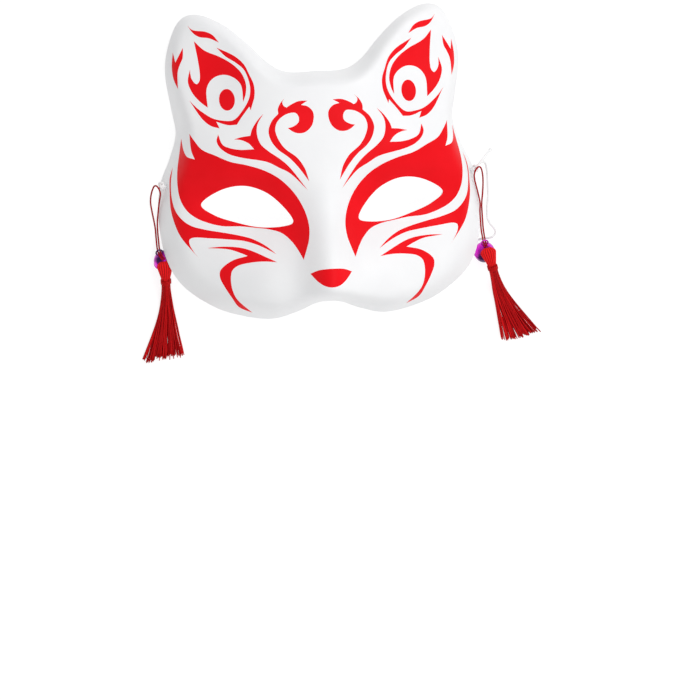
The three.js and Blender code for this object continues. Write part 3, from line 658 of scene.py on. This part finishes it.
# The printed shell. Rows of points run beside the rim, closer together where the side turns over, and a
# grid fills the rest.
RIM_POINTS = 480
RIM_ROWS = (0.12, 0.35, 0.7, 1.15, 1.7, 2.4, 3.2, 4.2, 5.4)
GRID_FROM_RIM = 6.2
GRID_SPACING = 1.6
GRID_ROW_SPACING = 0.866 * GRID_SPACING
GRID_HALF_WIDTH = 90
GRID_BOTTOM = -84
GRID_TOP = 86
PRINT_SPACING = 0.7
PRINT_STEPS = 16
DOT_POINTS = 36
EYE_STEPS = 10
TEMPLE_POINTS = 28
ON_RIM = 0.05
TEMPLE_REACH = 5


def smooth_run(points):
    """A smooth open line through points, without the last one"""
    p = np.array(points, float)
    if len(p) == 2:
        count = max(1, int(np.linalg.norm(p[1] - p[0]) / PRINT_SPACING))
        return p[0] + (p[1] - p[0]) * (np.arange(count) / count)[:, None]
    flat = np.column_stack([p, np.zeros(len(p))])
    fine = cord_line(flat, PRINT_STEPS)[:, :2]
    lengths = np.r_[0, np.cumsum(np.hypot(*np.diff(fine, axis=0).T))]
    count = max(2, int(lengths[-1] / PRINT_SPACING))
    targets = lengths[-1] * np.arange(count) / count
    return np.column_stack([np.interp(targets, lengths, fine[:, k]) for k in (0, 1)])


def inside(points, loop):
    """Which points lie inside a closed loop"""
    result = np.zeros(len(points), bool)
    low, high = loop.min(0), loop.max(0)
    near = np.flatnonzero(((points > low) & (points < high)).all(1))
    x, y = points[near, 0][:, None], points[near, 1][:, None]
    a, b = loop, np.roll(loop, -1, axis=0)
    crosses = (a[:, 1] > y) != (b[:, 1] > y)
    with np.errstate(divide="ignore", invalid="ignore"):
        at = a[:, 0] + (y - a[:, 1]) * (b[:, 0] - a[:, 0]) / (b[:, 1] - a[:, 1])
    result[near] = ((crosses & (x < at)).sum(1) % 2).astype(bool)
    return result


def print_loops():
    """The outlines of the printed forms on both halves"""
    loops = [np.vstack([smooth_run(line) for line in form]) for form in PRINT.values()]
    angles = evenly_round(DOT_POINTS)
    x, y, wide, high = EAR_DOT
    loops.append(np.column_stack([x + wide * np.cos(angles), y + high * np.sin(angles)]))
    loops += [loop * (-1, 1) for loop in loops]
    loops.append(np.vstack([smooth_run(line) for line in NOSE_PRINT]))
    return loops


def temple_loop(sign):
    point, normal = temple_hole(sign)
    across = np.cross(normal, (0, 1, 0))
    across /= np.linalg.norm(across)
    other = np.cross(normal, across)
    angles = evenly_round(TEMPLE_POINTS)
    radius = TEMPLE_HOLE_DIAMETER / 2
    ring = point + radius * (np.outer(np.cos(angles), across) + np.outer(np.sin(angles), other))
    return ring[:, :2]


def sheet(border, outward, holes, prints):
    """The shell's outer side laid flat: points, triangles, and which of the triangles are printed"""
    points, edges = [], []
    for loop in [border[:, :2], *holes, *prints]:
        start = len(points)
        points.extend(loop.tolist())
        edges.extend((start + k, start + (k + 1) % len(loop)) for k in range(len(loop)))
    for row, depth in enumerate(RIM_ROWS):
        points.extend((border[:, :2] - outward * depth)[row % 2::2].tolist())
    columns, rows = np.meshgrid(np.arange(-GRID_HALF_WIDTH, GRID_HALF_WIDTH, GRID_SPACING),
                                np.arange(GRID_BOTTOM, GRID_TOP, GRID_ROW_SPACING))
    columns[1::2] += GRID_SPACING / 2
    grid = np.column_stack([columns.ravel(), rows.ravel()])
    grid = grid[inside(grid, border[:, :2])]
    grid = grid[nearest_edge(grid)[:, 0] > GRID_FROM_RIM]
    points.extend(grid.tolist())
    cut = delaunay_2d_cdt([Vector(p) for p in points], edges, [], 0, 1e-5)
    flat = np.array([tuple(v) for v in cut[0]])
    triangles = np.array([f for f in cut[2] if len(f) == 3])
    middles = flat[triangles].mean(axis=1)
    kept = inside(middles, border[:, :2])
    for hole in holes:
        kept &= ~inside(middles, hole)
    triangles, middles = triangles[kept], middles[kept]
    inked = np.zeros(len(triangles), bool)
    for loop in prints:
        inked |= inside(middles, loop)
    used = np.unique(triangles)
    order = np.full(len(flat), -1)
    order[used] = np.arange(len(used))
    flat, triangles = flat[used], order[triangles]
    corner = flat[triangles]
    turn_sign = np.cross(corner[:, 1] - corner[:, 0], corner[:, 2] - corner[:, 0])
    triangles[turn_sign < 0] = triangles[turn_sign < 0][:, ::-1]
    return flat, triangles, inked


def open_edges(triangles):
    """The sides that only one triangle has: the rim and the edges of the holes"""
    sides = np.vstack([triangles[:, [0, 1]], triangles[:, [1, 2]], triangles[:, [2, 0]]])
    known = {tuple(s) for s in sides.tolist()}
    return [s for s in known if (s[1], s[0]) not in known]


def shell():
    border = outline_ring(RIM_POINTS)
    ahead = np.roll(border, -1, axis=0)[:, :2] - np.roll(border, 1, axis=0)[:, :2]
    ahead /= np.linalg.norm(ahead, axis=1)[:, None]
    outward = np.column_stack([-ahead[:, 1], ahead[:, 0]])
    eyes = [smooth_loop([[sign * x, y] for x, y in EYE_HOLE], EYE_STEPS) for sign in (-1, 1)]
    temples = [temple_loop(sign) for sign in (-1, 1)]
    flat, triangles, inked = sheet(border, outward, [*eyes, *temples], print_loops())
    normals = outer_normal(flat)
    outer = np.column_stack([flat, outer_height(flat)])
    inner = outer - normals * WALL

    # The wall is level at the rim, upright at the eyes and square to the surface at the temples
    open_sides = open_edges(triangles)
    far = nearest_edge(flat)
    for v in {end for side in open_sides for end in side}:
        if far[v, 0] < ON_RIM:
            k = np.hypot(*(border[:, :2] - flat[v]).T).argmin()
            outer[v, 2] = far[v, 1]
            inner[v] = (flat[v, 0] - outward[k, 0] * WALL, flat[v, 1] - outward[k, 1] * WALL, far[v, 1])
        elif np.hypot(abs(flat[v, 0]) - abs(left_hole[0]), flat[v, 1] - left_hole[1]) > TEMPLE_REACH:
            inner[v] = outer[v] - (0, 0, WALL / max(normals[v, 2], 0.5))
    count = len(flat)
    edge_strip = [(b, a, a + count, b + count) for a, b in open_sides]
    faces = triangles.tolist() + (triangles[:, ::-1] + count).tolist() + edge_strip
    kinds = np.r_[inked.astype(int), np.full(len(triangles), 2), np.zeros(len(edge_strip), int)]
    made = mesh_object("printed_mask", np.vstack([outer, inner]), faces,
                       [WHITE_PLASTIC, RED_PRINT, INNER_PLASTIC], face_materials=kinds)
    mesh = made.data
    strip = {frozenset(e) for e in open_sides}
    strip |= {frozenset((a + count, b + count)) for a, b in open_sides}
    sharp = np.array([frozenset(edge.vertices) in strip for edge in mesh.edges])
    mesh.attributes.new("sharp_edge", "BOOLEAN", "EDGE").data.foreach_set("value", sharp)
    return made


mask = shell()


# Tassels. The head is threads side by side over a core, with so deep a groove between them, and painted shade
# darkens each groove. The skirt's threads hang in clumps with ends of their own, part from each other on one
# side, and a few stray.
HEAD_RINGS = 30
HEAD_SIDES = 144
HEAD_THREADS = 18
HEAD_GROOVE = 0.18
SKIRT_THREADS = 210
SKIRT_STEPS = 14
SKIRT_OVERLAP = 0.6
SKIRT_FILLING = 0.93
THREAD_LOWEST = 0.3
PARTING_WIDTH = 0.06
STRAY_THREADS = 5
STRAY_SPREAD = 0.16
CLUMPS = 9
BINDING_TURNS = 6
BINDING_STEPS = 26


def tassel_shape(hanging, u):
    """Width and thickness at a distance down the tassel"""
    head = hanging["head_length"]
    if u < head:
        share = max(u / head, 0)
        rounding = math.sqrt(1 - HEAD_BLUNTNESS * (1 - min(share / HEAD_SHOULDER, 1)) ** 2)
        taper = min(max((share - HEAD_SHOULDER) / (1 - HEAD_SHOULDER), 0), 1)
        return tuple((size + (NECK_WIDTH - size) * taper) * rounding for size in (HEAD_WIDTH, HEAD_THICKNESS))
    neck_end = head + BINDING_LENGTH + 2 * CLEARANCE
    spread = min(max((u - neck_end) / hanging["skirt_length"], 0), 1)
    return (NECK_WIDTH + (hanging["skirt_width"] - NECK_WIDTH) * spread ** SKIRT_FLARE,
            NECK_WIDTH + (SKIRT_THICKNESS - NECK_WIDTH) * spread)


def tassel_middle(hanging, u):
    """The middle at a distance down the tassel: level from the bell, then down to the ground"""
    angle = math.radians(hanging["heading"])
    length = hanging["head_length"] + BINDING_LENGTH + 2 * CLEARANCE + hanging["skirt_length"]
    drop = 0.5 + 0.5 * math.cos(math.pi * min(max((u - hanging["level"]) / hanging["fall"], 0), 1))
    resting = tassel_shape(hanging, u)[1] / 2 + GROUND_GAP
    x, y, _ = bell_place(hanging)
    x += hanging["sign"] * hanging["head"][0] + math.cos(angle) * u
    x += hanging["sideways"] * (max(u, 0) / length) ** SWAY
    y += hanging["head"][1] + math.sin(angle) * u
    return np.array([x, y, resting + (hanging["head_height"] - resting) * drop])


def tassel_frame(hanging, u):
    """The middle at a distance down the tassel, and the ways across and up there"""
    angle = math.radians(hanging["heading"])
    across = np.array([-math.sin(angle), math.cos(angle), 0])
    tangent = tassel_middle(hanging, u + 0.1) - tassel_middle(hanging, u - 0.1)
    tangent /= np.linalg.norm(tangent)
    up = np.cross(tangent, across)
    return tassel_middle(hanging, u), across, up / np.linalg.norm(up)


def head_piece(hanging, side):
    """The head: threads laid over a core from the cord down to the neck"""
    angles = evenly_round(HEAD_SIDES)
    lean = draw.uniform(-0.08, 0.08, HEAD_THREADS)
    points, tones_and_shades = [], []
    for k in range(HEAD_RINGS):
        u = hanging["head_length"] * (k / (HEAD_RINGS - 1)) * 1.02 - 0.05
        middle, across, up = tassel_frame(hanging, u)
        wide, thick = tassel_shape(hanging, min(max(u, 0.08), hanging["head_length"] - 0.01))
        phase = HEAD_THREADS * angles / 2 + 0.5 * math.sin(k / 7)
        leaning = np.interp(angles, np.linspace(0, 2 * math.pi, HEAD_THREADS), lean)
        groove = np.abs(np.sin(phase + leaning))
        reach = 1 - HEAD_GROOVE + HEAD_GROOVE * groove ** 0.6
        points.append(middle + np.outer(np.cos(angles) * wide / 2 * reach, across)
                      + np.outer(np.sin(angles) * thick / 2 * reach, up))
        # The tone falls with each groove between the threads: painted shade in the grooves
        tones_and_shades.extend(0.95 * groove)
    i = np.arange(HEAD_SIDES)
    j = (i + 1) % HEAD_SIDES
    faces = []
    for a in range(0, (HEAD_RINGS - 1) * HEAD_SIDES, HEAD_SIDES):
        b = a + HEAD_SIDES
        faces.extend(np.column_stack([a + i, a + j, b + j, b + i]).tolist())
    faces.append(i[::-1].tolist())
    faces.append(((HEAD_RINGS - 1) * HEAD_SIDES + i).tolist())
    return mesh_object(f"tassel_head_{side}", np.vstack(points), faces, [RED_THREAD], tone_and_shade=tones_and_shades)


def skirt_piece(hanging, side):
    """The skirt: loose threads from the neck, spreading to a ragged end, with a few strays"""
    skirt_from = hanging["head_length"] - SKIRT_OVERLAP
    length = BINDING_LENGTH + 2 * CLEARANCE + SKIRT_OVERLAP + hanging["skirt_length"]
    downs = [skirt_from + length * k / SKIRT_STEPS for k in range(SKIRT_STEPS + 1)]
    places = [tassel_frame(hanging, u) for u in downs]
    shapes = [tassel_shape(hanging, u) for u in downs]
    clump_ends = draw.uniform(0.945, 1.0, CLUMPS)
    tubes = []
    for n in range(SKIRT_THREADS):
        stray = n < STRAY_THREADS
        angle = draw.uniform(0, 2 * math.pi)
        reach = math.sqrt(draw.uniform(0, 1)) * SKIRT_FILLING
        clump = int((math.cos(angle) * reach + 1) / 2 * CLUMPS)
        end = 1.0 if stray else clump_ends[clump] + draw.uniform(-0.03, 0.015)
        opening = draw.uniform(0.3, 2.4)
        wander = draw.normal(0, 0.35)
        wave = draw.uniform(0, 2 * math.pi)
        sway = draw.uniform(0.05, 0.3)
        line = []
        for k in range(SKIRT_STEPS + 1):
            share = k / SKIRT_STEPS * end
            spot = share * SKIRT_STEPS
            low = min(int(spot), SKIRT_STEPS - 1)
            part = spot - low
            middle = places[low][0] * (1 - part) + places[low + 1][0] * part
            wide = shapes[low][0] * (1 - part) + shapes[low + 1][0] * part
            thick = shapes[low][1] * (1 - part) + shapes[low + 1][1] * part
            across, up = places[low][1], places[low][2]
            across_share = math.cos(angle) * reach
            if across_share * hanging["parting"] > hanging["parting"] ** 2:
                across_share += math.copysign(PARTING_WIDTH, across_share) * opening * share
            if stray:
                across_share *= 1 + STRAY_SPREAD * share
            sideways = across_share * wide / 2 + share ** 2 * wander
            sideways += 0.5 * share * math.sin(clump * 2.1 + 5 * share)
            sideways += sway * share * math.sin(wave + 9 * share)
            upward = math.sin(angle) * reach * thick / 2
            point = middle + across * sideways + up * upward
            point[2] = max(point[2], THREAD_LOWEST)
            line.append(point)
        radius = draw.uniform(0.22, 0.3)
        tubes.append((np.array(line), radius, 5, draw.uniform(0.05, 0.55)))
    return tubes_object(f"tassel_skirt_{side}", tubes, [RED_THREAD])


def binding_piece(hanging, side):
    """The thread wound round the neck, turn beside turn"""
    steps = BINDING_TURNS * BINDING_STEPS
    radius = BINDING_LENGTH / BINDING_TURNS / 2 * 1.08
    first = hanging["head_length"] + CLEARANCE + radius
    reach = NECK_WIDTH / 2 + CLEARANCE
    line = []
    for k in range(steps + 1):
        angle = 2 * math.pi * k / BINDING_STEPS
        middle, across, up = tassel_frame(hanging, first + (BINDING_LENGTH - 2 * radius) * k / steps)
        line.append(middle + across * math.cos(angle) * reach + up * math.sin(angle) * reach)
    return tubes_object(f"tassel_neck_binding_{side}", [(np.array(line), radius, 8, 0.3)], [RED_THREAD])


# Bells. Each is drawn upright, with its loop up +Y and its slot below, and then laid beside the mask.
BELL_STEPS = 22
BELL_SIDES = 56
FLANGE_ROUNDING = 0.08
POLE_RADIUS = 1e-4


def bell_body():
    """Two pressed halves with a seam flange between them, outside and inside"""
    outer = []
    flange = BELL_FLANGE_THICKNESS / 2
    waist = math.acos(flange / BELL_RADIUS)
    for k in range(BELL_STEPS + 1):
        angle = waist * k / BELL_STEPS
        outer.append((BELL_RADIUS * math.sin(angle), BELL_RADIUS * math.cos(angle)))
    lip = BELL_RADIUS + BELL_FLANGE
    outer += [(lip - FLANGE_ROUNDING, flange), (lip, flange * 0.6)]
    profile = outer + [(r, -y) for r, y in outer[::-1]]
    hollow = BELL_RADIUS - BELL_WALL
    inner = [(hollow * math.sin(math.pi * k / BELL_STEPS), -hollow * math.cos(math.pi * k / BELL_STEPS))
             for k in range(BELL_STEPS + 1)]
    points, faces = [], []
    for rows in (profile, inner):
        start = len(points)
        for r, y in rows:
            reach = max(r, POLE_RADIUS)
            points.extend((reach * math.cos(angle), y, -reach * math.sin(angle))
                          for angle in (2 * math.pi * k / BELL_SIDES for k in range(BELL_SIDES)))
        for row in range(len(rows) - 1):
            a, b = start + row * BELL_SIDES, start + (row + 1) * BELL_SIDES
            for k in range(BELL_SIDES):
                n = (k + 1) % BELL_SIDES
                faces.append((a + k, b + k, b + n, a + n))
    return points, faces


def cut_slot(body):
    """Cut the slot, round at its ends, right across the lower half"""
    bpy.ops.mesh.primitive_cube_add(size=1)
    slot = bpy.context.object
    slot.scale = (BELL_SLOT * MM, BELL_RADIUS * MM, 3 * BELL_RADIUS * MM)
    slot.location = (0, -(BELL_RADIUS / 2 + BELL_SLOT_START) * MM, 0)
    bpy.ops.mesh.primitive_cylinder_add(radius=BELL_SLOT_END_RADIUS * MM, depth=3 * BELL_RADIUS * MM,
                                        vertices=24, location=(0, -BELL_SLOT_START * MM, 0))
    ends = bpy.context.object
    for cutter in (slot, ends):
        cut = body.modifiers.new("cut", "BOOLEAN")
        cut.object = cutter
        cut.operation = "DIFFERENCE"
    bpy.context.view_layer.update()
    graph = bpy.context.evaluated_depsgraph_get()
    mesh = bpy.data.meshes.new_from_object(body.evaluated_get(graph))
    body.modifiers.clear()
    body.data = mesh
    for cutter in (slot, ends):
        bpy.data.objects.remove(cutter)


def bell_wire(side):
    """The loop of wire on top, which the cord passes through"""
    angles = np.linspace(0, 2 * math.pi, 33)
    rise = BELL_RADIUS + LOOP_RADIUS - LOOP_SINK
    ring = np.column_stack([LOOP_RADIUS * np.cos(angles), rise + LOOP_RADIUS * np.sin(angles),
                            np.zeros(len(angles))])
    return mesh_object(f"bell_wire_{side}", *tube(ring, LOOP_WIRE_RADIUS, 10), [BELL_METAL])


def bell_piece(hanging, side):
    body = mesh_object(f"bell_body_{side}", *bell_body(), [BELL_METAL])
    cut_slot(body)
    piece = join(f"bell_shell_{side}", [body, bell_wire(side)])
    around = math.radians(hanging["loop_heading"])
    towards = Vector((math.cos(BELL_TILT) * math.cos(around), math.cos(BELL_TILT) * math.sin(around),
                      math.sin(BELL_TILT)))
    level = Vector((math.sin(around), -math.cos(around), 0))
    basis = Matrix((level, towards, level.cross(towards))).transposed().to_4x4()
    piece.data.transform(Matrix.Translation(Vector(bell_place(hanging)) * MM) @ basis)
    return piece


# Knots. An overhand knot outside each temple hole, with two strands from it into the hole. The right one
# has a smaller knot inside the hole, and its loose end with a knob on it.
KNOT_SIDES = 10
STRAND_OFFSET = 0.62
INNER_KNOT_SHARE = 0.62
TAIL_STEPS = 6
TAIL_KNOB_RADII = (0.7, 0.95, 1.0, 0.6)


def between(start, end):
    """A straight line in four steps"""
    return np.array([start + (end - start) * k / 4 for k in range(5)])


def overhand(centre, size, across, other, normal):
    """A trefoil line about a centre, flat on the wall it lies against"""
    t = np.linspace(0, 2 * math.pi, 73)
    along = (np.sin(t) + 2 * np.sin(2 * t))[:, None] * across
    along = along + (np.cos(t) - 2 * np.cos(2 * t))[:, None] * other
    return centre + size * (along + (-1.4 * np.sin(3 * t))[:, None] * normal)


def knot_piece(hanging, side):
    point, normal = temple_hole(hanging["sign"])
    centre = point + normal * (KNOT_RADIUS + CLEARANCE)
    across = np.cross(normal, (0, 1, 0))
    across /= np.linalg.norm(across)
    other = np.cross(normal, across)
    size = (KNOT_RADIUS - ELASTIC_DIAMETER / 2) / 3
    thick = ELASTIC_DIAMETER / 2
    tubes = [(overhand(centre, size, across, other, normal), thick, KNOT_SIDES, 0.5)]
    for offset in (-STRAND_OFFSET, STRAND_OFFSET):
        strand = between(point + normal * 0.1 + across * offset, centre + across * offset)
        tubes.append((strand, thick, KNOT_SIDES, 0.55))
    if side == "right":
        inside_knot = point - normal * (WALL + CLEARANCE + INNER_KNOT_RADIUS)
        small = overhand(inside_knot, INNER_KNOT_SHARE * size, across, other, normal)
        tubes.append((small, thick * 0.9, KNOT_SIDES, 0.5))
        tubes.append((between(inside_knot, centre), thick, KNOT_SIDES, 0.5))
        tail = cord_line([beside(hanging, spot) for spot in TAIL_ROUTE], TAIL_STEPS)
        swell = np.full(len(tail), thick)
        swell[-len(TAIL_KNOB_RADII):] = TAIL_KNOB_RADII
        tubes.append((tail, swell, KNOT_SIDES, 0.55))
    return tubes_object(f"knot_{side}", tubes, [WHITE_ELASTIC])


for side, hanging in HANGINGS.items():
    knot = knot_piece(hanging, side)
    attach(knot, "root")
    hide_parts(f"elastic_knot_{side}")
    bell = bell_piece(hanging, side)
    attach(bell, "root")
    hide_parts(f"bell_{side}")
    tassel = join(f"thread_tassel_{side}", [head_piece(hanging, side), skirt_piece(hanging, side)])
    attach(tassel, "root")
    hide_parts(f"tassel_{side}")
    binding = binding_piece(hanging, side)
    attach(binding, "root")
    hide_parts(f"tassel_binding_{side}")
    cord, line, run = cords[side]
    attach(cord, "root")
    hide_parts(f"tassel_cord_{side}")

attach(elastic, "root")
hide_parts("head_elastic")

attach(mask, "root")
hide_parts("mask_shell")


# Floor and light: a white sweep that reads white through the eye holes too, and two soft lamps
FLOOR_SIZE = 6
FLOOR_GLOW = 0.8
LIT_PLACE = Vector((0, 0, 0.03))
WORLD_STRENGTH = 0.45
LAMPS = {
    "key": {"location": (0.7, 0.8, 1.3), "size": 0.9, "power": 11},
    "top": {"location": (0.25, -0.65, 1.75), "size": 1.5, "power": 12.5},
}


def floor_material():
    made, nodes, links, shader = new_material("floor")
    cloud = noise_node(nodes, links, 3, 2)
    greys = [(NOISE_LOW, (0.26, 0.26, 0.26)), (NOISE_HIGH, (0.28, 0.28, 0.28))]
    links.new(ramp_node(nodes, links, cloud, greys), shader.inputs["Base Color"])
    shader.inputs["Roughness"].default_value = 0.9
    shader.inputs["Emission Color"].default_value = (1, 1, 1, 1)
    shader.inputs["Emission Strength"].default_value = FLOOR_GLOW
    return made


bpy.ops.mesh.primitive_plane_add(size=FLOOR_SIZE, location=(0, 0, 0))
floor = bpy.context.object
floor.name = "floor"
floor.data.materials.append(floor_material())

for name, lamp in LAMPS.items():
    data = bpy.data.lights.new(name, "AREA")
    data.shape = "DISK"
    data.size = lamp["size"]
    data.energy = lamp["power"]
    light = bpy.data.objects.new(name, data)
    light.location = lamp["location"]
    light.rotation_euler = (LIT_PLACE - light.location).to_track_quat("-Z", "Y").to_euler()
    bpy.context.scene.collection.objects.link(light)

world = bpy.data.worlds.new("world")
world.use_nodes = True
sky = world.node_tree.nodes["Background"]
sky.inputs["Color"].default_value = (1, 1, 1, 1)
sky.inputs["Strength"].default_value = WORLD_STRENGTH
bpy.context.scene.world = world
bpy.context.scene.view_settings.view_transform = "Standard"
